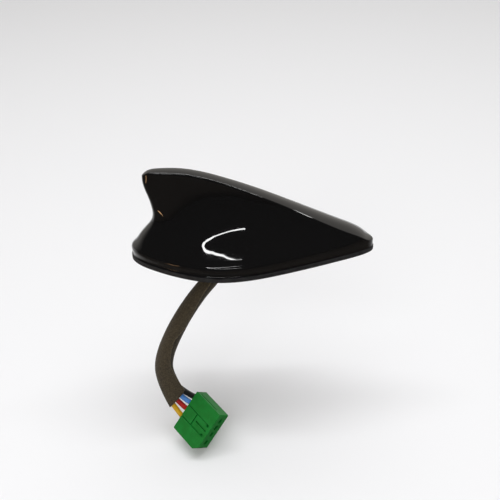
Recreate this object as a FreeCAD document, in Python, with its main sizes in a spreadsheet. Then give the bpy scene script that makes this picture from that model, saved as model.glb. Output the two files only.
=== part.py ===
import FreeCAD
import Part
import Sketcher
import math
import os

Vector = FreeCAD.Vector
Rotation = FreeCAD.Rotation

doc = FreeCAD.newDocument("car_antenna")

# Driving dimensions in millimetres
SIZES = {
    "fin_length": 165,
    "rear_reach": 81,
    "fin_width": 70,
    "fin_height": 66.3,
    "shoulder_height": 11.5,
    "ridge_half_width": 4.4,
    "ridge_crown_radius": 16,
    "ridge_edge_round": 1.4,
    "cover_wall": 2.4,
    "seal_height": 3,
    "seam_gap": 0.4,
    "fit_gap": 0.3,
    "plate_height": 2.5,
    "window_length": 62,
    "window_width": 34,
    "window_centre": -9,
    "spigot_depth": 6,
    "spigot_length": 40,
    "spigot_width": 20,
    "spigot_centre": -9,
    "stud_radius": 4,
    "stud_reach": 20,
    "stud_seat_depth": 8,
    "stud_seat_radius": 4.8,
    "cover_screw_radius": 1.5,
    "cover_screw_head_radius": 3,
    "cover_screw_head_height": 2,
    "cover_screw_length": 9,
    "cover_boss_radius": 3,
    "front_boss_inset": 32,
    "front_boss_y": 8,
    "rear_boss_inset": 31,
    "rear_boss_y": 14,
    "seal_groove_inset": 5,
    "seal_groove_width": 3,
    "seal_groove_depth": 1,
    "standoff_height": 1.8,
    "standoff_radius": 2.6,
    "board_length": 79,
    "board_width": 32,
    "board_height": 1.4,
    "board_centre": -4.5,
    "board_screw_radius": 1.1,
    "board_screw_head_radius": 2.1,
    "board_screw_head_height": 1.3,
    "board_screw_inset": 3.2,
    "patch_side": 25,
    "patch_height": 4,
    "patch_chamfer": 1,
    "patch_x": 15,
    "feed_pin_radius": 0.9,
    "feed_pin_height": 0.5,
    "feed_pin_offset": 2,
    "can_length": 22,
    "can_width": 20,
    "can_height": 3.5,
    "can_wall": 0.4,
    "can_x": -11,
    "element_board_wall": 1.2,
    "element_length": 32,
    "element_inset": 24,
    "element_bottom": 14,
    "element_headroom": 11.3,
    "element_foot_length": 14,
    "hat_height": 13,
    "hat_wall": 0.3,
    "boot_radius": 6.4,
    "boot_length": 8,
    "sleeve_radius": 5.8,
    "wire_radius": 1.35,
    "thick_wire_radius": 1.5,
    "connector_length": 27,
    "connector_width": 33.5,
    "connector_height": 10.5,
    "connector_round": 0.6,
    "corner_chamfer": 4,
    "cavity_width": 4.2,
    "cavity_height": 2.8,
    "cavity_depth": 13,
    "cavity_pitch": 6,
    "latch_right": 4.6,
    "latch_left": -5.2,
    "latch_start": 10.5,
    "latch_stop": 24.5,
    "latch_sink": 0.6,
    "seam_width": 0.6,
    "seam_depth": 1.3,
    "slot_width": 1,
    "slot_depth": 2,
    "notch_length": 2.4,
    "notch_width": 1.6,
    "side_groove_length": 18,
    "side_groove_width": 1,
    "side_groove_depth": 0.9,
    "side_groove_start": 3,
    "side_groove_height": 2.6,
    "terminal_length": 9,
    "terminal_wall": 0.5,
}

# Pigtail route, from the boot's end face to the cut end of the sleeve
SLEEVE_ROUTE = [
    (-19, 0, -8),
    (-24.5, -2, -17),
    (-38, -8, -29),
    (-54, -16, -51),
    (-66, -24.5, -76),
    (-63.5, -30, -92),
    (-56.9, -35, -104.2),
]
# Centre of the connector's rear face, its forward direction and its upward direction
CONNECTOR_REAR = Vector(-48.6, -35.5, -115.3)
CONNECTOR_FORWARD = Vector(0.6161, -0.7761, -0.135)
CONNECTOR_UP = Vector(-0.5526, -0.5479, 0.628)
# Place of each wire across the connector, in cavity pitches, and in the sleeve's end, in sleeve radii
WIRES = {
    "wire_yellow": (-1.33, (-0.6, -0.1), "wire_radius"),
    "wire_red": (-0.1, (-0.14, 0.4), "wire_radius"),
    "wire_blue": (0.9, (0.1, -0.35), "wire_radius"),
    "wire_black": (1.87, (0.58, 0.2), "thick_wire_radius"),
}
WIRE_END_RUN = 4

sheet = doc.addObject("Spreadsheet::Sheet", "Sizes")
for row, (alias, value) in enumerate(SIZES.items(), start=1):
    sheet.set(f"A{row}", alias)
    sheet.set(f"B{row}", str(value))
    sheet.setAlias(f"B{row}", alias)
doc.recompute()


def size(alias):
    return float(sheet.get(alias))


def on_sheet(expression):
    """The expression with each driving dimension's name pointed at its cell."""
    return " ".join(f"Sizes.{word}" if word in SIZES else word for word in expression.split(" "))


def place(item, x, y, z):
    for axis, expression in zip("xyz", (x, y, z)):
        item.setExpression(f"Placement.Base.{axis}", on_sheet(expression))


def box(name, length, width, height, x, y, z):
    """A block centred on x, y that rises from z; every entry is an expression on the sheet."""
    item = doc.addObject("Part::Box", name)
    for side, expression in (("Length", length), ("Width", width), ("Height", height)):
        item.setExpression(side, on_sheet(expression))
    place(item, f"{x} - ( {length} ) / 2", f"{y} - ( {width} ) / 2", z)
    return item


def cylinder(name, radius, height, x, y, z):
    item = doc.addObject("Part::Cylinder", name)
    item.setExpression("Radius", on_sheet(radius))
    item.setExpression("Height", on_sheet(height))
    place(item, x, y, z)
    return item


def fuse(name, items):
    item = doc.addObject("Part::MultiFuse", name)
    item.Shapes = items
    return item


def cut(name, base, tools):
    item = doc.addObject("Part::Cut", name)
    item.Base = base
    item.Tool = tools[0] if len(tools) == 1 else fuse(f"{name}_tools", tools)
    return item


def compound(name, items):
    item = doc.addObject("Part::Compound", name)
    item.Links = items
    return item


def shaped(name, shape):
    item = doc.addObject("Part::Feature", name)
    item.Shape = shape
    return item


def obround(name, length, width, height, centre, z):
    """A slot-shaped block along X with round ends."""
    middle = box(f"{name}_middle", f"{length} - ( {width} )", width, height, centre, "0", z)
    reach = f"( {length} - ( {width} ) ) / 2"
    front = cylinder(f"{name}_front", f"( {width} ) / 2", height, f"{centre} + {reach}", "0", z)
    rear = cylinder(f"{name}_rear", f"( {width} ) / 2", height, f"{centre} - {reach}", "0", z)
    return fuse(name, [middle, front, rear])


def padded(name, length, width, height, x, y, z, chamfer=None):
    """A body padded from a rectangle that is centred on x, y, with its upright edges chamfered if asked."""
    body = doc.addObject("PartDesign::Body", name)
    sketch = body.newObject("Sketcher::SketchObject", f"{name}_outline")
    plane = next(item for item in body.Origin.OriginFeatures if item.Role == "XY_Plane")
    sketch.AttachmentSupport = [(plane, "")]
    sketch.MapMode = "FlatFace"
    corners = [Vector(-9, -5, 0), Vector(9, -5, 0), Vector(9, 5, 0), Vector(-9, 5, 0)]
    for start, end in zip(corners, corners[1:] + corners[:1]):
        sketch.addGeometry(Part.LineSegment(start, end))
    for line in range(4):
        sketch.addConstraint(Sketcher.Constraint("Coincident", line, 2, (line + 1) % 4, 1))
        sketch.addConstraint(Sketcher.Constraint("Vertical" if line % 2 else "Horizontal", line))
    sketch.addConstraint(Sketcher.Constraint("Symmetric", 0, 1, 2, 1, -1, 1))
    across = sketch.addConstraint(Sketcher.Constraint("DistanceX", 0, 1, 0, 2, 18))
    along = sketch.addConstraint(Sketcher.Constraint("DistanceY", 1, 1, 1, 2, 10))
    sketch.setExpression(f"Constraints[{across}]", on_sheet(length))
    sketch.setExpression(f"Constraints[{along}]", on_sheet(width))
    pad = body.newObject("PartDesign::Pad", f"{name}_pad")
    pad.Profile = sketch
    pad.setExpression("Length", on_sheet(height))
    place(body, x, y, z)
    if chamfer:
        doc.recompute()
        upright = [
            f"Edge{number}"
            for number, edge in enumerate(pad.Shape.Edges, start=1)
            if abs(edge.tangentAt(edge.FirstParameter).z) > 0.9
        ]
        edges = body.newObject("PartDesign::Chamfer", f"{name}_chamfer")
        edges.Base = (pad, upright)
        edges.setExpression("Size", on_sheet(chamfer))
    return body


# Plan of the fin's control points: place along the length from the rear, half breadth at the skirt and at the
# ridge, and the height where the flank's flare ends
STATIONS = [
    (0.0, 0.0, 0.0, 1.0),
    (0.0, 0.22, 0.75, 1.0),
    (0.11, 0.6, 1.05, 1.0),
    (0.36, 1.12, 1.05, 0.92),
    (0.62, 0.8, 1.0, 0.67),
    (0.86, 0.4, 0.95, 0.5),
    (1.0, 0.15, 0.6, 0.5),
    (1.0, 0.0, 0.0, 0.5),
]
# Side of the fin: height, and how far the trailing edge stands in from the rear, as shares of the fin's height
TRAILING_EDGE = [
    (0.05, 0.0),
    (0.1, 0.003),
    (0.155, 0.01),
    (0.185, 0.036),
    (0.23, 0.073),
    (0.3, 0.124),
    (0.4, 0.21),
    (0.53, 0.255),
    (0.67, 0.236),
    (0.82, 0.197),
    (0.94, 0.19),
    (1.1, 0.2),
]
# Ridge of the fin: place along the length from the rear, and height as a share of the fin's height
RIDGE = [
    (0.06, 0.9),
    (0.08, 0.956),
    (0.1, 0.988),
    (0.14, 1.0),
    (0.24, 0.984),
    (0.38, 0.885),
    (0.655, 0.582),
    (0.855, 0.34),
    (0.955, 0.205),
    (1.03, 0.095),
]
SKIRT_LEAN = 0.03
FLARE_TAKE_OFF = 0.93


def flare(height, top_share):
    """The share of the skirt's breadth, past the ridge's, that is left at a height."""
    shoulder = size("shoulder_height")
    if height < shoulder:
        return 1 - SKIRT_LEAN * height / shoulder
    rise = (height - shoulder) / (top_share * size("fin_height") - shoulder)
    return FLARE_TAKE_OFF * max(0.0, 1 - rise) ** 2


def plan_wire(height, set_in, rear_share, lift=0.0):
    """The fin's outline at a height, drawn in by set_in, as two curves from the rear to the nose."""
    rear = -size("rear_reach") + rear_share * size("fin_height") + set_in
    nose = size("fin_length") - size("rear_reach") - 1.5 * set_in
    ridge = size("ridge_half_width")
    points = []
    for along, skirt_share, ridge_share, flare_top in STATIONS:
        skirt = skirt_share * size("fin_width") / 2
        top = ridge_share * ridge
        breadth = top + (skirt - top) * flare(height, flare_top)
        if breadth:
            breadth = max(breadth - set_in, 0.3 * breadth)
        points.append(Vector(rear + (nose - rear) * along, breadth, height + lift))
    edges = []
    for side in (1, -1):
        curve = Part.BSplineCurve()
        curve.buildFromPoles([Vector(p.x, side * p.y, p.z) for p in points], False, 3)
        edges.append(curve.toShape())
    return Part.Wire(Part.__sortEdges__(edges))


def crown_tool(drop):
    """The space over the fin's crowned ridge, lowered by drop."""
    rear = -size("rear_reach")
    rows = []
    for along, share in RIDGE:
        x = rear + along * size("fin_length")
        z = share * size("fin_height") - drop
        crown = size("ridge_crown_radius")
        sides = [-crown, -crown / 2, 0, crown / 2, crown]
        rows.append([Vector(x, y, z - y * y / (2 * crown)) for y in sides])
    surface = Part.BSplineSurface()
    surface.interpolate(rows)
    return surface.toShape().extrude(Vector(0, 0, 2 * size("fin_height")))


def fin_body(set_in, bottom):
    """The fin as a solid, drawn in by set_in and reaching down to bottom."""
    wires = [plan_wire(bottom, set_in, 0.0)]
    for height_share, rear_share in TRAILING_EDGE[1:]:
        wires.append(plan_wire(height_share * size("fin_height"), set_in, rear_share))
    return Part.makeLoft(wires, True, False).cut(crown_tool(set_in))


def cover_shape():
    bottom = size("seal_height") + size("seam_gap")
    outer = fin_body(0.0, bottom)
    crown = max(outer.Faces, key=lambda face: face.CenterOfMass.z)
    outer = outer.makeFillet(size("ridge_edge_round"), crown.Edges)
    inner = fin_body(size("cover_wall"), bottom - 1)
    shell = outer.cut(inner)
    seat = size("seal_height") + size("plate_height")
    for x, y in boss_places():
        post = Part.makeCylinder(size("cover_boss_radius"), size("fin_height"), Vector(x, y, seat))
        shell = shell.fuse(post.common(outer))
        depth = size("cover_screw_length") + 1
        shell = shell.cut(Part.makeCylinder(size("cover_screw_radius"), depth, Vector(x, y, seat)))
    return shell.removeSplitter()


def boss_places():
    stations = {
        "front": size("fin_length") - size("rear_reach") - size("front_boss_inset"),
        "rear": size("rear_boss_inset") - size("rear_reach"),
    }
    return [(x, side * size(f"{end}_boss_y")) for end, x in stations.items() for side in (1, -1)]


def outline_block(name, set_in, bottom, height):
    wire = plan_wire(0.0, set_in, 0.0, bottom)
    return shaped(name, Part.Face(wire).extrude(Vector(0, 0, height)))


def at_bosses(make):
    """One item from make for each of the four cover screws."""
    stations = {"front": "fin_length - rear_reach - front_boss_inset", "rear": "rear_boss_inset - rear_reach"}
    return [
        make(f"{end}_{number}", x, f"{side} * {end}_boss_y")
        for end, x in stations.items()
        for number, side in enumerate((1, -1))
    ]


def at_board_corners(make):
    x = "( board_length / 2 - board_screw_inset )"
    y = "( board_width / 2 - board_screw_inset )"
    return [
        make(f"corner_{number}", f"board_centre + {front} * {x}", f"{side} * {y}")
        for number, (front, side) in enumerate(((1, 1), (1, -1), (-1, 1), (-1, -1)))
    ]


cover = shaped("cover", cover_shape())

# Rubber seal under the whole rim, open round the metal foot and the screw heads
seal_rim = outline_block("seal_rim", -0.3, 0.0, size("seal_height"))
seal_window = obround("seal_window", "window_length + 2 * fit_gap", "window_width + 2 * fit_gap",
                      "seal_height + 2", "window_centre", "-1")
screw_ports = at_bosses(lambda tag, x, y: cylinder(
    f"screw_port_{tag}", "cover_screw_head_radius + fit_gap", "seal_height + 2", x, y, "-1"))
groove_outside = outline_block("groove_outside", size("seal_groove_inset"), 0.0, size("seal_groove_depth"))
groove_inside = outline_block("groove_inside", size("seal_groove_inset") + size("seal_groove_width"), 0.0,
                              size("seal_groove_depth"))
seal_groove = cut("seal_groove", groove_outside, [groove_inside])
seal_pad = cut("seal_pad", seal_rim, [seal_window, seal_groove] + screw_ports)

# Die-cast base: plate inside the skirt, foot through the seal, spigot through the roof
boot_start = Vector(*SLEEVE_ROUTE[0])
boot_way = (Vector(*SLEEVE_ROUTE[0]) - Vector(*SLEEVE_ROUTE[1])).normalize()
plate = outline_block("plate", size("cover_wall") + 2 * size("fit_gap") + SKIRT_LEAN * size("fin_width") / 2,
                      size("seal_height"), size("plate_height"))
foot = obround("foot", "window_length", "window_width", "seal_height", "window_centre", "0")
spigot = obround("spigot", "spigot_length", "spigot_width", "spigot_depth", "spigot_centre", "-1 * spigot_depth")
plate_top = "seal_height + plate_height"
standoffs = at_board_corners(lambda tag, x, y: cylinder(
    f"standoff_{tag}", "standoff_radius", "standoff_height", x, y, plate_top))
base_blank = fuse("base_blank", [plate, foot, spigot] + standoffs)
stud_hole = cylinder("stud_hole", "stud_seat_radius", "stud_seat_depth", "0", "0", "-1 * spigot_depth")
screw_ways = at_bosses(lambda tag, x, y: cylinder(
    f"screw_way_{tag}", "cover_screw_radius + fit_gap / 2", "plate_height + 2", x, y, "seal_height - 1"))
board_taps = at_board_corners(lambda tag, x, y: cylinder(
    f"board_tap_{tag}", "board_screw_radius", "standoff_height + plate_height", x, y, "seal_height + 1"))
cable_way = shaped("cable_way", Part.makeCylinder(
    size("boot_radius"), 40, boot_start - boot_way * 12, boot_way))
base_plate = cut("base_plate", base_blank, [stud_hole, cable_way] + screw_ways + board_taps)

stud_shank = cylinder("stud_shank", "stud_radius", "stud_reach - spigot_depth", "0", "0", "-1 * stud_reach")
stud_seat = cylinder("stud_seat", "stud_seat_radius", "stud_seat_depth", "0", "0", "-1 * spigot_depth")
roof_stud = fuse("roof_stud", [stud_shank, stud_seat])

cover_screw_set = at_bosses(lambda tag, x, y: fuse(f"cover_screw_{tag}", [
    cylinder(f"cover_screw_head_{tag}", "cover_screw_head_radius", "cover_screw_head_height", x, y,
             "seal_height - cover_screw_head_height"),
    cylinder(f"cover_screw_shank_{tag}", "cover_screw_radius", "plate_height + cover_screw_length", x, y,
             "seal_height"),
]))
cover_screws = compound("cover_screws", cover_screw_set)

# Electronics on the base
board_z = f"{plate_top} + standoff_height"
board_top = f"{board_z} + board_height"
board_blank = padded("board_blank", "board_length", "board_width", "board_height", "board_centre", "0", board_z)
board_holes = at_board_corners(lambda tag, x, y: cylinder(
    f"board_hole_{tag}", "board_screw_radius", "board_height + 2", x, y, f"{board_z} - 1"))
main_board = cut("main_board", board_blank, board_holes)
board_screw_set = at_board_corners(lambda tag, x, y: fuse(f"board_screw_{tag}", [
    cylinder(f"board_screw_head_{tag}", "board_screw_head_radius", "board_screw_head_height", x, y, board_top),
    cylinder(f"board_screw_shank_{tag}", "board_screw_radius", "board_height + standoff_height", x, y,
             plate_top),
]))
board_screws = compound("board_screws", board_screw_set)
patch_antenna = padded("patch_antenna", "patch_side", "patch_side", "patch_height", "patch_x", "0", board_top,
                       "patch_chamfer")
feed_pin = cylinder("feed_pin", "feed_pin_radius", "feed_pin_height", "patch_x + feed_pin_offset", "0",
                    f"{board_top} + patch_height")
can_block = box("can_block", "can_length", "can_width", "can_height", "can_x", "0", board_top)
can_room = box("can_room", "can_length - 2 * can_wall", "can_width - 2 * can_wall", "can_height - can_wall",
               "can_x", "0", board_top)
shield_can = cut("shield_can", can_block, [can_room])

# Upright board in the fin, with its foot on the main board and a metal hat on its upper half
element_x = "( element_inset + element_length / 2 - rear_reach )"
element_top = "( fin_height - element_headroom )"
element_panel = padded("element_panel", "element_length", "element_board_wall", f"{element_top} - element_bottom",
                       element_x, "0", "element_bottom")
element_foot = box("element_foot", "element_foot_length", "element_board_wall",
                   f"element_bottom - ( {board_top} )",
                   f"{element_x} + ( element_length - element_foot_length ) / 2 - 2", "0", board_top)
element_board = fuse("element_board", [element_panel, element_foot])
hat_sides = [
    box(f"hat_side_{tag}", "element_length - 2", "hat_wall", "hat_height", element_x,
        f"{side} * ( element_board_wall + hat_wall ) / 2", f"{element_top} - hat_height")
    for tag, side in (("left", 1), ("right", -1))
]
hat_bridge = box("hat_bridge", "element_length - 2", "element_board_wall + 2 * hat_wall", "hat_wall",
                 element_x, "0", element_top)
top_load_hat = fuse("top_load_hat", hat_sides + [hat_bridge])

cable_boot = shaped("cable_boot", Part.makeCylinder(
    size("boot_radius"), size("boot_length"), boot_start, boot_way))


def tube(points, radius):
    """A round tube along straight runs joined by the largest tangent arcs that the runs allow."""
    points = [Vector(*point) for point in points]
    edges = []
    start = points[0]
    for before, corner, after in zip(points, points[1:], points[2:]):
        back = (before - corner).normalize()
        ahead = (after - corner).normalize()
        half_turn = (math.pi - back.getAngle(ahead)) / 2
        reach = 0.45 * min((before - corner).Length, (after - corner).Length)
        arc_radius = reach / math.tan(half_turn)
        print(f"arc radius {arc_radius:.1f} mm, tube radius {radius:.2f} mm")
        into = corner + back * reach
        out = corner + ahead * reach
        middle = (back + ahead).normalize()
        crest = corner + middle * (arc_radius / math.cos(half_turn) - arc_radius)
        edges.append(Part.LineSegment(start, into).toShape())
        edges.append(Part.Arc(into, crest, out).toShape())
        start = out
    edges.append(Part.LineSegment(start, points[-1]).toShape())
    path = Part.Wire(edges)
    ring = Part.Wire(Part.makeCircle(radius, points[0], points[1] - points[0]))
    solid = path.makePipeShell([ring], True, True)
    print(f"tube volume over section times length {solid.Volume / (math.pi * radius ** 2 * path.Length):.4f}")
    return solid


cable_sleeve = shaped("cable_sleeve", tube(SLEEVE_ROUTE, size("sleeve_radius")))

# Connector, built on its own axes: X forward from the rear face, Z up, with the cavities in its front
connector_side = CONNECTOR_UP.cross(CONNECTOR_FORWARD)
connector_turn = Rotation(CONNECTOR_FORWARD, connector_side, CONNECTOR_UP, "ZXY")
connector_place = FreeCAD.Placement(CONNECTOR_REAR, connector_turn)


def connector_row(make):
    return [make(name, f"{share} * cavity_pitch") for name, (share, _, _) in WIRES.items()]


def rod_along_x(name, radius, length, x, y, z):
    """A round bar that starts at x and runs forward."""
    item = doc.addObject("Part::Cylinder", name)
    item.Placement = FreeCAD.Placement(Vector(), Rotation(Vector(0, 1, 0), 90))
    item.setExpression("Radius", on_sheet(radius))
    item.setExpression("Height", on_sheet(length))
    place(item, x, y, z)
    return item


def cavity(name, y):
    """A slot with round ends, sunk into the plug's front."""
    reach = "( cavity_width - cavity_height ) / 2"
    start = "connector_length - cavity_depth"
    middle = box(f"cavity_{name}_middle", "cavity_depth", "cavity_width - cavity_height", "cavity_height",
                 "connector_length - cavity_depth / 2", y, "-1 * cavity_height / 2")
    ends = [
        rod_along_x(f"cavity_{name}_{tag}", "cavity_height / 2", "cavity_depth", start, f"{y} + {side} * {reach}", "0")
        for tag, side in (("left", -1), ("right", 1))
    ]
    return fuse(f"cavity_{name}", [middle] + ends)


def top_cut(name, start, stop, y, width, depth):
    """A lengthwise cut into the plug's top."""
    return box(name, f"{stop} - ( {start} )", width, f"{depth} + 1", f"( {stop} + ( {start} ) ) / 2", y,
               f"connector_height / 2 - {depth}")


housing_block = padded("housing_block", "connector_length", "connector_width", "connector_height",
                       "connector_length / 2", "0", "-1 * connector_height / 2", "connector_round")
latch_y = "( latch_right + latch_left ) / 2"
latch_cuts = [
    top_cut("seam_right", "1", "latch_stop", "latch_right", "seam_width", "seam_depth"),
    top_cut("seam_left", "-1", "latch_stop", "latch_left", "seam_width", "seam_depth"),
    top_cut("seam_across", "latch_start", "latch_start + seam_width", latch_y, "latch_right - latch_left",
            "seam_depth"),
    top_cut("latch_floor", "latch_start", "latch_stop", latch_y, "latch_right - latch_left", "latch_sink"),
    top_cut("latch_slot", "latch_start + 2 * slot_width", "latch_stop", latch_y, "slot_width", "slot_depth"),
    top_cut("notch_right", "latch_stop - notch_length", "latch_stop", "latch_right - notch_width / 2",
            "notch_width", "slot_depth"),
    top_cut("notch_left", "latch_stop - notch_length", "latch_stop", "latch_left + notch_width / 2",
            "notch_width", "slot_depth"),
]
side_groove = box("side_groove", "side_groove_length", "2 * side_groove_depth", "side_groove_width",
                  "side_groove_start + side_groove_length / 2", "connector_width / 2", "side_groove_height")
corner_wedge = box("corner_wedge", "2 * corner_chamfer", "2 * corner_chamfer", "connector_height + 2", "0", "0",
                   "-1 * connector_height / 2 - 1")
corner_wedge.setExpression("Placement.Base.x", on_sheet("connector_length"))
corner_wedge.setExpression("Placement.Base.y", on_sheet(
    "-1 * connector_width / 2 - corner_chamfer * ( 2 * sqrt( 2 ) - 1 )"))
corner_wedge.setExpression("Placement.Rotation.Angle", "45")
cavities = connector_row(cavity)
housing = cut("housing", housing_block, cavities + latch_cuts + [side_groove, corner_wedge])
terminals = connector_row(lambda name, y: box(
    f"terminal_{name}", "terminal_length", "cavity_width - 2 * terminal_wall", "cavity_height - 2 * terminal_wall",
    "connector_length - cavity_depth + terminal_length / 2", y, "terminal_wall - cavity_height / 2"))
terminal_set = compound("terminal_set", terminals)
doc.recompute()


def onto_connector(name, source):
    item = shaped(name, source.Shape)
    item.Placement = connector_place
    return item


connector_housing = onto_connector("connector_housing", housing)
connector_terminals = onto_connector("connector_terminals", terminal_set)

sleeve_end = Vector(*SLEEVE_ROUTE[-1])
sleeve_way = (sleeve_end - Vector(*SLEEVE_ROUTE[-2])).normalize()
sleeve_across = (connector_side - sleeve_way * connector_side.dot(sleeve_way)).normalize()
sleeve_over = sleeve_way.cross(sleeve_across)
wires = []
for name, (share, (across, over), radius) in WIRES.items():
    start = sleeve_end + (sleeve_across * across + sleeve_over * over) * size("sleeve_radius")
    end = connector_place.multVec(Vector(0, share * size("cavity_pitch"), 0))
    route = [start, start + sleeve_way * WIRE_END_RUN, end - CONNECTOR_FORWARD * WIRE_END_RUN, end]
    wires.append(shaped(name, tube(route, size(radius))))

doc.recompute()
NODES = [cover, seal_pad, base_plate, roof_stud, cover_screws, main_board, board_screws, patch_antenna,
         feed_pin, shield_can, element_board, top_load_hat, cable_boot, cable_sleeve, connector_housing,
         connector_terminals] + wires
for item in doc.Objects:
    if {"Invalid", "Error"} & set(item.State):
        raise RuntimeError(f"{item.Label} failed: {item.State}")
for node in NODES:
    if node.Shape.isNull() or not node.Shape.isValid():
        raise RuntimeError(f"{node.Label} has no valid shape")
os.makedirs("parts", exist_ok=True)
for node in NODES:
    print(node.Label, len(node.Shape.Solids), round(node.Shape.Volume, 1))
    node.Shape.exportStep(f"parts/{node.Label}.step")
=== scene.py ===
import math

import bmesh
import bpy
from mathutils import Matrix, Vector


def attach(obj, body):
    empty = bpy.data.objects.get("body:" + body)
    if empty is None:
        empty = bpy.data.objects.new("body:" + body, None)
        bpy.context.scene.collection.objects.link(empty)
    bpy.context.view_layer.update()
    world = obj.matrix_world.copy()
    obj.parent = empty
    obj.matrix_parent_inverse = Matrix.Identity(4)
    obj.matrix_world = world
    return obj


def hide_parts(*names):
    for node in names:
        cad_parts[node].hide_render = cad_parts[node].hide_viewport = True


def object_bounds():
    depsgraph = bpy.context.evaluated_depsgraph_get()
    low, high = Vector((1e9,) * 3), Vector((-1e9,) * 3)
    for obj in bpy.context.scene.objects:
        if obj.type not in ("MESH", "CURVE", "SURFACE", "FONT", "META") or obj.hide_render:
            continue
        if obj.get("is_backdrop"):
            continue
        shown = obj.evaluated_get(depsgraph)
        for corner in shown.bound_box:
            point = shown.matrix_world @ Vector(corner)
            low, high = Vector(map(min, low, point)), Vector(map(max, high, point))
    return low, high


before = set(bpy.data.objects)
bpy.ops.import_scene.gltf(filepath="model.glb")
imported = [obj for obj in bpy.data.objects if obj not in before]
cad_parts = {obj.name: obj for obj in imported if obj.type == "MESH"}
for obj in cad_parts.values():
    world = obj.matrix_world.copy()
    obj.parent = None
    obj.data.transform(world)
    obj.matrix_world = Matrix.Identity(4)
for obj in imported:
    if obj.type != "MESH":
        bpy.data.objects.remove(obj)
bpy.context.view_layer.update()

bl_info = {
    "name": "Shark-fin antenna",
    "version": (1, 0, 0),
    "blender": (4, 5, 0),
    "location": "View3D > Sidebar > Antenna",
    "description": "Dresses the packed roof antenna: paint, rubber, felt sleeve, wires, plug and stage",
    "category": "Object",
}

BODY = "root"
MM = 0.001

# Route of the sleeve's middle, from the rubber boot to its cut end, in metres
SLEEVE_ROUTE = [
    (-0.019, 0.0, -0.008),
    (-0.0245, -0.002, -0.017),
    (-0.038, -0.008, -0.029),
    (-0.054, -0.016, -0.051),
    (-0.066, -0.0245, -0.076),
    (-0.0635, -0.030, -0.092),
    (-0.0569, -0.035, -0.1042),
]
# The plug's rear face, its forward and its upward direction
PLUG_REAR = Vector((-0.0486, -0.0355, -0.1153))
PLUG_FORWARD = Vector((0.6161, -0.7761, -0.135))
PLUG_UP = Vector((-0.5526, -0.5479, 0.628))
# Each wire's place across the plug in cavity pitches, its place in the sleeve's mouth, and its stoutness
WIRES = {
    "wire_yellow": (-1.33, -0.0052, 1.0),
    "wire_red": (-0.1, -0.0018, 1.0),
    "wire_blue": (0.9, 0.0018, 1.0),
    "wire_black": (1.87, 0.0052, 1.15),
}
CAVITY_PITCH = 0.006
# The way the sleeve's broad side faces
SLEEVE_FACE = Vector((0, -0.82, 0.57))
# Slant of the sleeve's cut end, as its run forward for each step across
MOUTH_SKEW = 0.36
# M8 thread of the stud: outer and root radius, pitch, and the stud's ends and seat
STUD_RADIUS = 0.004
STUD_ROOT = 0.0034
STUD_PITCH = 0.00125
STUD_TIP = -0.02
STUD_SEAT_RADIUS = 0.0048
STUD_SEAT_BOTTOM = -0.006
STUD_SEAT_TOP = 0.002

# The photograph's camera: its aim, distance, height angle, roll and focal length in picture widths
CAMERA_AIM = Vector((-0.0003, 0.0, 0.0013))
CAMERA_DISTANCE = 0.54
CAMERA_ELEVATION = math.radians(35)
CAMERA_ROLL = -0.0334
CAMERA_FOCUS = 784.7 / 500
SENSOR_WIDTH = 36


# Lamps whose strokes of light the photographed flank mirrors: colour, strength, width and route
GLINTS = {
    "bent_lamp": ("#ffffff", 16.0, 0.02, [
        (0.1, -0.491, 0.379), (-0.012, -0.489, 0.397), (-0.129, -0.455, 0.422), (-0.215, -0.4, 0.456),
        (-0.226, -0.365, 0.476), (-0.205, -0.35, 0.492), (-0.115, -0.347, 0.515), (0.002, -0.335, 0.531),
        (0.074, -0.319, 0.533)]),
    "far_lamp": ("#ffffff", 12.0, 0.03, [
        (0.426, 0.167, 0.455), (0.441, 0.05, 0.465), (0.436, -0.142, 0.462)]),
    "warm_lamp": ("#ffc890", 9.0, 0.008, [
        (-0.238, -0.144, -0.068), (-0.22, -0.17, -0.05), (-0.217, -0.188, -0.026)]),
}
# How the sleeve's lap wanders round it: share of the length, and turn from the sleeve's right side
LAP = [
    (0, 1.4), (0.12, 1.33), (0.27, 1.0), (0.4, 0.63), (0.47, 0.5),
    (0.56, 1.1), (0.68, 0.8), (0.8, 0.5), (1, 0.2),
]
# Sides of the round sections, and half the table's side
SLEEVE_SIDES = 72
WIRE_SIDES = 20
LAMP_SIDES = 12
TABLE_HALF = 4.0
# A wire's run inside the sleeve, straight out of it, straight behind the plug, and inside the plug
WIRE_TUCK = 0.006
WIRE_OUT = 0.003
WIRE_LEAD = 0.004
WIRE_SEAT = 0.001


class AntennaSizes(bpy.types.PropertyGroup):
    """Sizes that a user would change"""

    sleeve_width: bpy.props.FloatProperty(
        name="Sleeve width", description="Width of the felt sleeve at mid-length",
        default=0.0122, unit="LENGTH")
    sleeve_mouth: bpy.props.FloatProperty(
        name="Sleeve mouth", description="Width of the flattened mouth of the sleeve",
        default=0.0155, unit="LENGTH")
    seam_step: bpy.props.FloatProperty(
        name="Seam step", description="Height of the edge where the sleeve laps over itself",
        default=0.0007, unit="LENGTH")
    wire_width: bpy.props.FloatProperty(
        name="Wire width", description="Outside width of the thin wires", default=0.0037, unit="LENGTH")
    plug_edge: bpy.props.FloatProperty(
        name="Plug edge", description="Width of the soft edges of the plug", default=0.0003, unit="LENGTH")
    floor_drop: bpy.props.FloatProperty(
        name="Floor drop", description="Clearance between the plug and the floor",
        default=0.004, unit="LENGTH")


def hex_colour(name, description, value):
    return bpy.props.StringProperty(name=name, description=description, default=value)


class AntennaColours(bpy.types.PropertyGroup):
    """Colours of the finishes as sRGB hex values"""

    paint: hex_colour("Paint", "Piano black lacquer", "#0a0a0b")
    floor: hex_colour("Floor", "Pale table", "#ecedf0")
    # Painted reflection: the dark colour that the near table takes only in glossy rays
    painted_floor_reflection: hex_colour("Mirrored floor", "The near table as the lacquer mirrors it", "#453f39")


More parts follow.
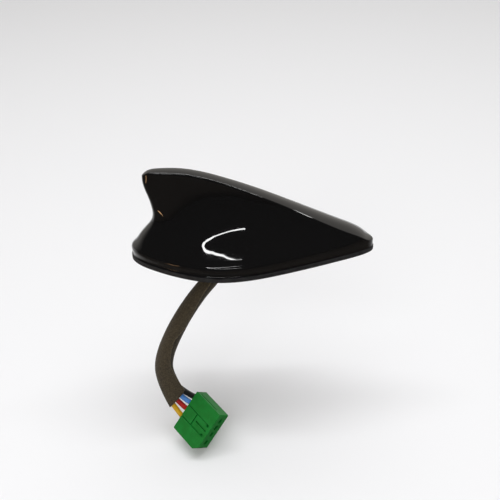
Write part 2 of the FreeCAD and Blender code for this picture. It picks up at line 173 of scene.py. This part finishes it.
def linear(hex_value, alpha=1.0):
    """An sRGB hex value as the linear colour that a socket takes."""
    digits = hex_value.lstrip("#")
    channels = [int(digits[i:i + 2], 16) / 255 for i in (0, 2, 4)]
    straight = [c / 12.92 if c <= 0.04045 else ((c + 0.055) / 1.055) ** 2.4 for c in channels]
    return (*straight, alpha)


def add_node(tree, kind, settings=None, inputs=None, links=None):
    """Adds a node, sets its fields and sockets, and links sockets to other nodes' outputs."""
    node = tree.nodes.new(kind)
    for field, value in (settings or {}).items():
        setattr(node, field, value)
    for socket, value in (inputs or {}).items():
        node.inputs[socket].default_value = value
    for socket, output in (links or {}).items():
        tree.links.new(output, node.inputs[socket])
    return node


def new_material(name, **sockets):
    """An empty material with a Principled shader whose plain sockets are set."""
    material = bpy.data.materials.new(name)
    material.use_nodes = True
    shader = material.node_tree.nodes["Principled BSDF"]
    for socket, value in sockets.items():
        shader.inputs[socket.replace("_", " ")].default_value = value
    return material, material.node_tree, shader


def mottle(tree, shader, dark, light, grain_mm, detail=4.0):
    """Colour that drifts between two hex values in patches of about the given size."""
    place = add_node(tree, "ShaderNodeTexCoord")
    noise = add_node(tree, "ShaderNodeTexNoise", inputs={"Scale": 1 / (grain_mm * MM), "Detail": detail},
                     links={"Vector": place.outputs["Object"]})
    ramp = add_node(tree, "ShaderNodeValToRGB", links={"Fac": noise.outputs["Fac"]})
    ramp.color_ramp.elements[0].position = 0.3
    ramp.color_ramp.elements[0].color = linear(dark)
    ramp.color_ramp.elements[1].position = 0.7
    ramp.color_ramp.elements[1].color = linear(light)
    tree.links.new(ramp.outputs["Color"], shader.inputs["Base Color"])
    return place


def grain_bump(tree, shader, place, grain_mm, height_mm, detail=3.0):
    """Bump from noise of the given grain and height."""
    noise = add_node(tree, "ShaderNodeTexNoise", inputs={"Scale": 1 / (grain_mm * MM), "Detail": detail},
                     links={"Vector": place.outputs["Object"]})
    bump = add_node(tree, "ShaderNodeBump", inputs={"Strength": 1.0, "Distance": height_mm * MM},
                    links={"Height": noise.outputs["Fac"]})
    tree.links.new(bump.outputs["Normal"], shader.inputs["Normal"])
    return bump


def black_lacquer(colours):
    # Lacquered ABS: a deep black with a mirror coat, dulled here and there by handling dust
    material, tree, shader = new_material("black_lacquer", IOR=1.5, Coat_Weight=0.6, Coat_Roughness=0.02)
    shader.inputs["Base Color"].default_value = linear(colours.paint)
    place = add_node(tree, "ShaderNodeTexCoord")
    dust = add_node(tree, "ShaderNodeTexNoise",
                    inputs={"Scale": 1 / (6 * MM), "Detail": 8.0, "Roughness": 0.7},
                    links={"Vector": place.outputs["Object"]})
    haze = add_node(tree, "ShaderNodeMapRange", inputs={
        "From Min": 0.35, "From Max": 0.75, "To Min": 0.01, "To Max": 0.06},
        links={"Value": dust.outputs["Fac"]})
    tree.links.new(haze.outputs["Result"], shader.inputs["Roughness"])
    return material


def seal_rubber():
    # Moulded EPDM: soft grey sheen over a fine sparkle of mould grain
    material, tree, shader = new_material("seal_rubber", Roughness=0.62, IOR=1.5)
    place = mottle(tree, shader, "#1c1c1d", "#2c2c2d", 4)
    grain_bump(tree, shader, place, 0.35, 0.03)
    return material


def felt_sleeve():
    # Needled felt tape: dull fibres that break up the outline, darker in the hollows
    material, tree, shader = new_material("felt_sleeve", Roughness=0.95, IOR=1.4, Sheen_Weight=0.1,
                                          Sheen_Roughness=0.6)
    place = mottle(tree, shader, "#2b2318", "#4d4330", 0.9, 8.0)
    grain_bump(tree, shader, place, 0.45, 0.35, 8.0)
    # Painted highlight on the lip along the lap, with painted shade of the lip beside it
    lap = add_node(tree, "ShaderNodeAttribute", {"attribute_name": "lap"})
    ramp = add_node(tree, "ShaderNodeValToRGB", links={"Fac": lap.outputs["Fac"]})
    ramp.color_ramp.elements[0].color = (2.4, 2.2, 2.0, 1)
    ramp.color_ramp.elements[1].color = (0.35, 0.33, 0.3, 1)
    for position, level in ((0.012, 1.9), (0.03, 1.0), (0.9, 1.0)):
        ramp.color_ramp.elements.new(position).color = (level, level, level, 1)
    felt = shader.inputs["Base Color"].links[0].from_socket
    lap_highlight_and_shade = add_node(tree, "ShaderNodeMix", {"data_type": "RGBA", "blend_type": "MULTIPLY"}, inputs={0: 1.0},
                    links={6: felt, 7: ramp.outputs["Color"]})
    tree.links.new(lap_highlight_and_shade.outputs[2], shader.inputs["Base Color"])
    return material


def wire_skin(name, dark, light):
    # Extruded PVC: even colour with a soft gloss
    material, tree, shader = new_material(name, Roughness=0.38, IOR=1.52)
    place = mottle(tree, shader, dark, light, 3)
    grain_bump(tree, shader, place, 0.8, 0.02)
    return material


def plug_plastic():
    # Moulded PBT: saturated green with a satin face from the tool
    material, tree, shader = new_material("plug_plastic", Roughness=0.5, IOR=1.45)
    place = mottle(tree, shader, "#046a1e", "#087a2a", 5)
    grain_bump(tree, shader, place, 0.25, 0.012)
    return material


def metal(name, dark, light, roughness, grain_mm, height_mm):
    material, tree, shader = new_material(name, Metallic=1.0, Roughness=roughness)
    place = mottle(tree, shader, dark, light, grain_mm * 6)
    grain_bump(tree, shader, place, grain_mm, height_mm)
    return material


def board_mask():
    # Solder mask over glass fibre: green with a wet gloss
    material, tree, shader = new_material("board_mask", Roughness=0.3, IOR=1.5)
    place = mottle(tree, shader, "#0d3d22", "#15512e", 3)
    grain_bump(tree, shader, place, 0.6, 0.01)
    return material


def patch_ceramic():
    # Sintered ceramic: dull cream body
    material, tree, shader = new_material("patch_ceramic", Roughness=0.55, IOR=1.6)
    place = mottle(tree, shader, "#b9a789", "#cdbd9f", 2)
    grain_bump(tree, shader, place, 0.3, 0.02)
    return material


def table_top(colours):
    """Pale table whose near part takes a painted dark reflection colour in glossy rays, so the lacquer
    mirrors it dim.
    """
    material, tree, shader = new_material("table_top", Roughness=0.8)
    place = add_node(tree, "ShaderNodeTexCoord")
    axes = add_node(tree, "ShaderNodeSeparateXYZ", links={"Vector": place.outputs["Object"]})
    near = add_node(tree, "ShaderNodeMapRange", inputs={
        "From Min": -0.05, "From Max": 0.15, "To Min": 1.0, "To Max": 0.0},
        links={"Value": axes.outputs["Y"]})
    # Painted reflection: glossy rays see the near table in the dark mirrored colour
    ray = add_node(tree, "ShaderNodeLightPath")
    dim = add_node(tree, "ShaderNodeMath", {"operation": "MULTIPLY"},
                   links={0: near.outputs["Result"], 1: ray.outputs["Is Glossy Ray"]})
    ramp = add_node(tree, "ShaderNodeValToRGB", links={"Fac": dim.outputs["Value"]})
    ramp.color_ramp.elements[0].color = linear(colours.floor)
    ramp.color_ramp.elements[1].color = linear(colours.painted_floor_reflection)
    tree.links.new(ramp.outputs["Color"], shader.inputs["Base Color"])
    return material


def glow(name, colour, strength):
    """A lamp's lit skin."""
    material, _, shader = new_material(name, Emission_Strength=strength)
    shader.inputs["Base Color"].default_value = linear("#000000")
    shader.inputs["Emission Color"].default_value = linear(colour)
    return material


def piece_from(bm, name, material, smooth=True):
    """A finished object of the body from a bmesh, at the origin."""
    bmesh.ops.recalc_face_normals(bm, faces=bm.faces)
    mesh = bpy.data.meshes.new(name)
    bm.to_mesh(mesh)
    bm.free()
    for polygon in mesh.polygons:
        polygon.use_smooth = smooth
    mesh.materials.append(material)
    item = bpy.data.objects.new(name, mesh)
    bpy.context.collection.objects.link(item)
    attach(item, BODY)
    return item


def dress(node, material):
    """Gives a CAD node's object its finish."""
    item = bpy.data.objects[node]
    item.data.materials.clear()
    item.data.materials.append(material)


def softened(node, name, width, material):
    """A merged copy of a CAD node with its sharp edges bevelled."""
    bm = bmesh.new()
    bm.from_mesh(bpy.data.objects[node].data)
    bmesh.ops.remove_doubles(bm, verts=bm.verts, dist=1e-6)
    bmesh.ops.dissolve_limit(bm, angle_limit=math.radians(1), verts=bm.verts, edges=bm.edges)
    sharp = [edge for edge in bm.edges if edge.is_manifold and edge.calc_face_angle() > math.radians(30)]
    bmesh.ops.bevel(bm, geom=sharp, offset=width, affect="EDGES", segments=2, profile=0.5, material=-1,
                    clamp_overlap=True)
    return piece_from(bm, name, material, smooth=False)


def along_spline(route, resolution=24):
    """Points of the smooth NURBS line that has the route as its control points."""
    data = bpy.data.curves.new("route", "CURVE")
    data.dimensions = "3D"
    data.resolution_u = resolution
    spline = data.splines.new("NURBS")
    spline.points.add(len(route) - 1)
    for point, place in zip(spline.points, route):
        point.co = (*place, 1.0)
    spline.order_u = 3
    spline.use_endpoint_u = True
    item = bpy.data.objects.new("route", data)
    bpy.context.collection.objects.link(item)
    bpy.context.view_layer.update()
    mesh = bpy.data.meshes.new_from_object(item.evaluated_get(bpy.context.evaluated_depsgraph_get()))
    points = [vertex.co.copy() for vertex in mesh.vertices]
    bpy.data.objects.remove(item)
    bpy.data.meshes.remove(mesh)
    return points


def frames_along(points, face):
    """A frame at each point: across, over and forward axes, with over as near to face as the line allows."""
    frames = []
    for index, point in enumerate(points):
        before = points[max(index - 1, 0)]
        after = points[min(index + 1, len(points) - 1)]
        forward = (after - before).normalized()
        across = Vector(face).cross(forward).normalized()
        over = forward.cross(across)
        frames.append(Matrix((across, over, forward)).transposed().to_4x4())
        frames[-1].translation = point
    return frames


def circle(radius, sides):
    """Points of a round section."""
    turns = [2 * math.pi * step / sides for step in range(sides)]
    return [(radius * math.cos(turn), radius * math.sin(turn), 0) for turn in turns]


def loft(bm, frames, outline):
    """A tube with closed ends; outline gives the points of the ring at a share of the way."""
    rings = []
    for index, place in enumerate(frames):
        share = index / (len(frames) - 1)
        verts = [bm.verts.new(place @ Vector(point)) for point in outline(share)]
        edges = [bm.edges.new((a, b)) for a, b in zip(verts, verts[1:] + verts[:1])]
        rings.append(edges)
    for near, far in zip(rings, rings[1:]):
        bmesh.ops.bridge_loops(bm, edges=near + far)
    bmesh.ops.holes_fill(bm, edges=rings[0] + rings[-1], sides=0)


def lap_turn(share):
    """The lap's place round the sleeve at a share of its length."""
    for (start, low), (stop, high) in zip(LAP, LAP[1:]):
        if share <= stop:
            return low + (high - low) * (share - start) / (stop - start)
    return LAP[-1][1]


def plug_matrix():
    side = PLUG_UP.cross(PLUG_FORWARD)
    matrix = Matrix((PLUG_FORWARD, side, PLUG_UP)).transposed().to_4x4()
    matrix.translation = PLUG_REAR
    return matrix


class ANTENNA_OT_cover(bpy.types.Operator):
    """Lacquer on the fin, rubber under it"""

    bl_idname = "antenna.cover"
    bl_label = "Cover and seal"

    def execute(self, context):
        colours = context.scene.antenna_colours
        dress("cover", black_lacquer(colours))
        rubber = seal_rubber()
        dress("seal_pad", rubber)
        dress("cable_boot", rubber)
        return {"FINISHED"}


class ANTENNA_OT_base(bpy.types.Operator):
    """Cast base, stud, screws and the electronics"""

    bl_idname = "antenna.base"
    bl_label = "Base and electronics"

    def execute(self, context):
        dress("base_plate", metal("cast_aluminium", "#8d8d8a", "#a9a9a5", 0.5, 0.5, 0.05))
        zinc = metal("zinc_plate", "#9a9a98", "#b9b8b4", 0.32, 0.4, 0.01)
        for node in ("cover_screws", "board_screws"):
            dress(node, zinc)
        self.stud(zinc)
        mask = board_mask()
        dress("main_board", mask)
        dress("element_board", mask)
        dress("patch_antenna", patch_ceramic())
        dress("shield_can", metal("tin_plate", "#b5b5b2", "#cbcbc8", 0.28, 0.5, 0.01))
        dress("top_load_hat", metal("brass_sheet", "#a98545", "#c29c58", 0.3, 0.5, 0.01))
        dress("feed_pin", metal("solder_dot", "#b0b0ac", "#c4c4c0", 0.25, 0.4, 0.01))
        return {"FINISHED"}

    def stud(self, material):
        """The stud with the ridges of its thread, turned from its half section."""
        turns = int((STUD_SEAT_BOTTOM - STUD_TIP) / STUD_PITCH)
        section = [(0, STUD_TIP), (STUD_ROOT, STUD_TIP)]
        for turn in range(turns):
            section.append((STUD_RADIUS, STUD_TIP + (turn + 0.5) * STUD_PITCH))
            section.append((STUD_ROOT, STUD_TIP + (turn + 1) * STUD_PITCH))
        section += [(STUD_ROOT, STUD_SEAT_BOTTOM), (STUD_SEAT_RADIUS, STUD_SEAT_BOTTOM),
                    (STUD_SEAT_RADIUS, STUD_SEAT_TOP), (0, STUD_SEAT_TOP)]
        bm = bmesh.new()
        verts = [bm.verts.new((x, 0, z)) for x, z in section]
        edges = [bm.edges.new(pair) for pair in zip(verts, verts[1:])]
        bmesh.ops.spin(bm, geom=verts + edges, cent=(0, 0, 0), axis=(0, 0, 1), angle=2 * math.pi, steps=48,
                       use_merge=True)
        bmesh.ops.remove_doubles(bm, verts=bm.verts, dist=1e-6)
        stud = piece_from(bm, "threaded_stud", material, smooth=False)
        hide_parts("roof_stud")


class ANTENNA_OT_pigtail(bpy.types.Operator):
    """Felt sleeve and the wires that come out of its mouth"""

    bl_idname = "antenna.pigtail"
    bl_label = "Pigtail"

    def execute(self, context):
        sizes = context.scene.antenna_sizes
        points = along_spline(SLEEVE_ROUTE)
        frames = frames_along(points, SLEEVE_FACE)

        def outline(share):
            mouth = max(0.0, (share - 0.55) / 0.45) ** 2
            half_width = (sizes.sleeve_width * (0.82 + 0.18 * min(1, share * 2)) * (1 - mouth)
                          + sizes.sleeve_mouth * mouth) / 2
            half_depth = sizes.sleeve_width / 2 * (0.95 - 0.45 * mouth)
            lap = lap_turn(share)
            ring = []
            for step in range(SLEEVE_SIDES):
                turn = 2 * math.pi * step / SLEEVE_SIDES
                past_lap = ((turn - lap) % (2 * math.pi)) / (2 * math.pi)
                swell = 1 + sizes.seam_step / half_width * (1 - past_lap) ** 3
                x = half_width * swell * math.cos(turn)
                ring.append((x, half_depth * swell * math.sin(turn), -MOUTH_SKEW * mouth * x))
            return ring

        bm = bmesh.new()
        loft(bm, frames, outline)
        # Each vertex's share of the turn past the lap, which places the felt's painted highlight and painted
        # shade
        layer = bm.verts.layers.float.new("lap")
        for index, vert in enumerate(bm.verts):
            ring, step = divmod(index, SLEEVE_SIDES)
            turn = 2 * math.pi * step / SLEEVE_SIDES - lap_turn(ring / (len(frames) - 1))
            vert[layer] = turn % (2 * math.pi) / (2 * math.pi)
        sleeve = piece_from(bm, "felt_sleeve", felt_sleeve())
        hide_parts("cable_sleeve")

        skins = {
            "wire_yellow": wire_skin("pvc_yellow", "#d9a514", "#e6b81f"),
            "wire_red": wire_skin("pvc_red", "#b01a18", "#c4221e"),
            "wire_blue": wire_skin("pvc_blue", "#4a86d6", "#5c97e4"),
            "wire_black": wire_skin("pvc_black", "#141414", "#1e1e1f"),
        }
        plug = plug_matrix()
        mouth_frame = frames[-1]
        for node, (place, mouth_place, stoutness) in WIRES.items():
            end = plug @ Vector((WIRE_SEAT, place * CAVITY_PITCH, 0))
            lead = plug @ Vector((-WIRE_LEAD, place * CAVITY_PITCH, 0))
            start = mouth_frame @ Vector((mouth_place, 0, -WIRE_TUCK - MOUTH_SKEW * mouth_place))
            out = mouth_frame @ Vector((mouth_place, 0, WIRE_OUT - MOUTH_SKEW * mouth_place))
            line = along_spline([start, (out + lead) / 2, end], 16)
            radius = sizes.wire_width * stoutness / 2
            bm = bmesh.new()
            ring = circle(radius, WIRE_SIDES)
            loft(bm, frames_along(line, PLUG_UP), lambda share: ring)
            wire = piece_from(bm, f"{node}_skin", skins[node])
            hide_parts(node)

        return {"FINISHED"}


class ANTENNA_OT_plug(bpy.types.Operator):
    """Green plug and its contacts"""

    bl_idname = "antenna.plug"
    bl_label = "Plug"

    def execute(self, context):
        body = softened("connector_housing", "plug_body", context.scene.antenna_sizes.plug_edge,
                        plug_plastic())
        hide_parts("connector_housing")
        dress("connector_terminals", metal("tinned_brass", "#a89f86", "#c2b99f", 0.3, 0.4, 0.01))
        return {"FINISHED"}


class ANTENNA_OT_stage(bpy.types.Operator):
    """Table, lamps, world and camera"""

    bl_idname = "antenna.stage"
    bl_label = "Stage"

    def execute(self, context):
        scene = context.scene
        scene.view_settings.view_transform = "Standard"
        self.table(scene)
        self.world(scene)
        self.camera(scene)
        lamp("overhead", (0, 0.35, 1.9), (0, 0.35, 0), (2.4, 2.4), 25, seen=False)
        lamp("front", (-0.3, -1.1, 0.9), (0, 0, -0.03), (0.8, 0.8), 6, seen=False)
        lamp("tube", (0.1, 0.05, 1.2), (0.1, 0.05, 0), (1.6, 0.1), 6)
        for name, (colour, strength, width, route) in GLINTS.items():
            self.glint(scene, name, glow(name, colour, strength), width, route)
        return {"FINISHED"}

    def table(self, scene):
        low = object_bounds()[0][2] - scene.antenna_sizes.floor_drop
        bm = bmesh.new()
        bmesh.ops.create_grid(bm, x_segments=1, y_segments=1, size=TABLE_HALF,
                              matrix=Matrix.Translation((0, 0, low)))
        mesh = bpy.data.meshes.new("table")
        bm.to_mesh(mesh)
        bm.free()
        mesh.materials.append(table_top(scene.antenna_colours))
        table = bpy.data.objects.new("table", mesh)
        scene.collection.objects.link(table)
        table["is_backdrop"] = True

    def glint(self, scene, name, material, width, route):
        """A bent lamp, stoutest near its middle, that shows only as a stroke of light in reflections."""
        bm = bmesh.new()

        def outline(share):
            stoutness = (0.4 + 0.6 * math.sin(math.pi * share) ** 2) * (1.15 - 0.65 * share)
            return circle(width / 2 * stoutness, LAMP_SIDES)

        loft(bm, frames_along(along_spline(route, 6), (0.3, 1, 0.2)), outline)
        mesh = bpy.data.meshes.new(name)
        bm.to_mesh(mesh)
        bm.free()
        mesh.materials.append(material)
        item = bpy.data.objects.new(name, mesh)
        item.visible_camera = False
        item.visible_shadow = False
        item.visible_diffuse = False
        scene.collection.objects.link(item)
        item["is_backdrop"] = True

    def world(self, scene):
        world = bpy.data.worlds.new("room")
        world.use_nodes = True
        tree = world.node_tree
        sky = tree.nodes["Background"]
        sky.inputs["Color"].default_value = linear("#f4efe8")
        # In the lacquer's mirror the room is dim on the photographer's side and paler behind the fin
        place = add_node(tree, "ShaderNodeTexCoord")
        axes = add_node(tree, "ShaderNodeSeparateXYZ", links={"Vector": place.outputs["Generated"]})
        behind = add_node(tree, "ShaderNodeMapRange", inputs={
            "From Min": -0.1, "From Max": 0.3, "To Min": 0.05, "To Max": 0.65},
            links={"Value": axes.outputs["Y"]})
        ray = add_node(tree, "ShaderNodeLightPath")
        level = add_node(tree, "ShaderNodeMapRange", inputs={"To Min": 0.35}, links={
            "Value": ray.outputs["Is Glossy Ray"], "To Max": behind.outputs["Result"]})
        tree.links.new(level.outputs["Result"], sky.inputs["Strength"])
        scene.world = world

    def camera(self, scene):
        ahead = Vector((0, math.cos(CAMERA_ELEVATION), -math.sin(CAMERA_ELEVATION)))
        level = Vector((1, 0, 0))
        upward = level.cross(ahead)
        right = level * math.cos(CAMERA_ROLL) + upward * math.sin(CAMERA_ROLL)
        up = upward * math.cos(CAMERA_ROLL) - level * math.sin(CAMERA_ROLL)
        data = bpy.data.cameras.new("camera")
        data.sensor_width = SENSOR_WIDTH
        data.lens = CAMERA_FOCUS * SENSOR_WIDTH
        data.clip_start = 0.01
        camera = bpy.data.objects.new("camera", data)
        matrix = Matrix((right, up, -ahead)).transposed().to_4x4()
        matrix.translation = CAMERA_AIM - ahead * CAMERA_DISTANCE
        camera.matrix_world = matrix
        scene.collection.objects.link(camera)
        scene.camera = camera


def lamp(name, place, aim, size, power, colour="#ffffff", seen=True):
    """A soft rectangular lamp that looks at a point; it can be kept out of reflections."""
    data = bpy.data.lights.new(name, "AREA")
    data.shape = "RECTANGLE"
    data.size, data.size_y = size
    data.energy = power
    data.color = linear(colour)[:3]
    item = bpy.data.objects.new(name, data)
    item.visible_glossy = seen
    item.location = place
    item.rotation_euler = (Vector(aim) - Vector(place)).to_track_quat("-Z", "Y").to_euler()
    bpy.context.collection.objects.link(item)


class ANTENNA_PT_panel(bpy.types.Panel):
    """Lists the steps that dress the antenna"""

    bl_label = "Shark-fin antenna"
    bl_idname = "ANTENNA_PT_panel"
    bl_space_type = "VIEW_3D"
    bl_region_type = "UI"
    bl_category = "Antenna"

    def draw(self, context):
        for operator in OPERATORS:
            self.layout.operator(operator.bl_idname)


OPERATORS = (ANTENNA_OT_cover, ANTENNA_OT_base, ANTENNA_OT_plug, ANTENNA_OT_pigtail, ANTENNA_OT_stage)
CLASSES = (AntennaSizes, AntennaColours, *OPERATORS, ANTENNA_PT_panel)


def register():
    for item in CLASSES:
        bpy.utils.register_class(item)
    bpy.types.Scene.antenna_sizes = bpy.props.PointerProperty(type=AntennaSizes)
    bpy.types.Scene.antenna_colours = bpy.props.PointerProperty(type=AntennaColours)


def unregister():
    del bpy.types.Scene.antenna_colours
    del bpy.types.Scene.antenna_sizes
    for item in reversed(CLASSES):
        bpy.utils.unregister_class(item)


def main():
    register()
    for operator in OPERATORS:
        group, name = operator.bl_idname.split(".")
        getattr(getattr(bpy.ops, group), name)()


if __name__ == "__main__":
    main()
